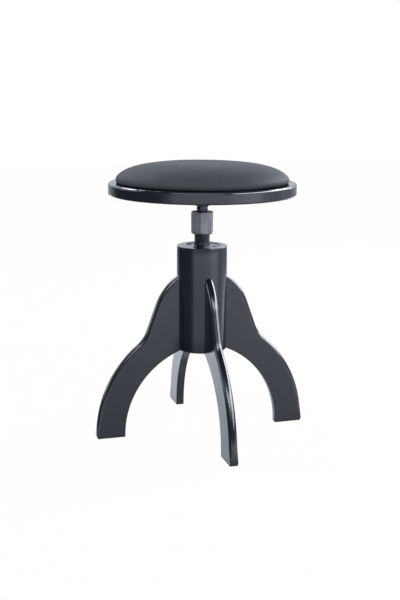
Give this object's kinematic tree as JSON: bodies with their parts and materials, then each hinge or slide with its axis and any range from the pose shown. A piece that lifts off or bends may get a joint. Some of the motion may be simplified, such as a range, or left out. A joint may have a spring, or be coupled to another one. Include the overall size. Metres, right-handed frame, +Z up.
{
  "type": "revolving piano stool",
  "caption": "Round padded piano stool on a turned hub and sawn legs; it turns and rises on a double screw spindle.",
  "frame": {"origin": "on the stool's axis, on the floor under the felts of the feet", "axes": "+Z up along the spindle; the legs lie along X and Y; leg_front lies along -Y and leg_right along +X"},
  "size_m": [0.418, 0.418, 0.5205],
  "materials": {
    "lacquered_wood": "satin black lacquer on beech",
    "bare_wood": "bare beech and plywood",
    "felt": "pressed felt",
    "bright_steel": "machined, zinc plated",
    "screw_steel": "plated",
    "dark_steel": "oiled, darkened",
    "black_steel": "satin black paint",
    "foam": "open-cell foam",
    "leather": "smooth satin artificial leather"
  },
  "bodies": {
    "base": {"hub": "lacquered_wood", "leg_front": "lacquered_wood", "leg_right": "lacquered_wood", "leg_back": "lacquered_wood", "leg_left": "lacquered_wood", "leg_dowels": "bare_wood", "foot_felts": "felt", "flange_nut": "dark_steel", "flange_nut_screws": "screw_steel"},
    "outer_lift": {"outer_stop_ring": "bright_steel"},
    "outer_screw": {"outer_spindle": "dark_steel", "outer_retaining_ring": "screw_steel"},
    "inner_lift": {"inner_stop_washer": "bright_steel"},
    "seat": {"inner_spindle": "dark_steel", "inner_stop_bolt": "screw_steel", "seat_flange": "black_steel", "seat_flange_screws": "screw_steel", "seat_board": "lacquered_wood", "pad_board": "bare_wood", "pad_screws": "screw_steel", "pad_foam": "foam", "pad_cover": "leather", "cover_staples": "screw_steel"}
  },
  "joints": [
    {"name": "outer_rise", "type": "slide", "parent": "base", "child": "outer_lift", "axis": [0, 0, 1], "range_m": [-0.0149, 0.0549]},
    {"name": "outer_turn", "type": "hinge", "parent": "outer_lift", "child": "outer_screw", "pos_m": [0, 0, 0.388], "axis": [0, 0, 1], "range_deg": [-2690, 9890]},
    {"name": "inner_rise", "type": "slide", "parent": "outer_screw", "child": "inner_lift", "axis": [0, 0, 1], "range_m": [-0.0113, 0.0498]},
    {"name": "seat_turn", "type": "hinge", "parent": "inner_lift", "child": "seat", "pos_m": [0, 0, 0.442], "axis": [0, 0, 1], "range_deg": [-820, 3590]}
  ],
  "couplings": [
    {"joint": "outer_turn", "follows": "outer_rise", "rad_per_m": 3141.6},
    {"joint": "seat_turn", "follows": "inner_rise", "rad_per_m": 1256.6}
  ]
}
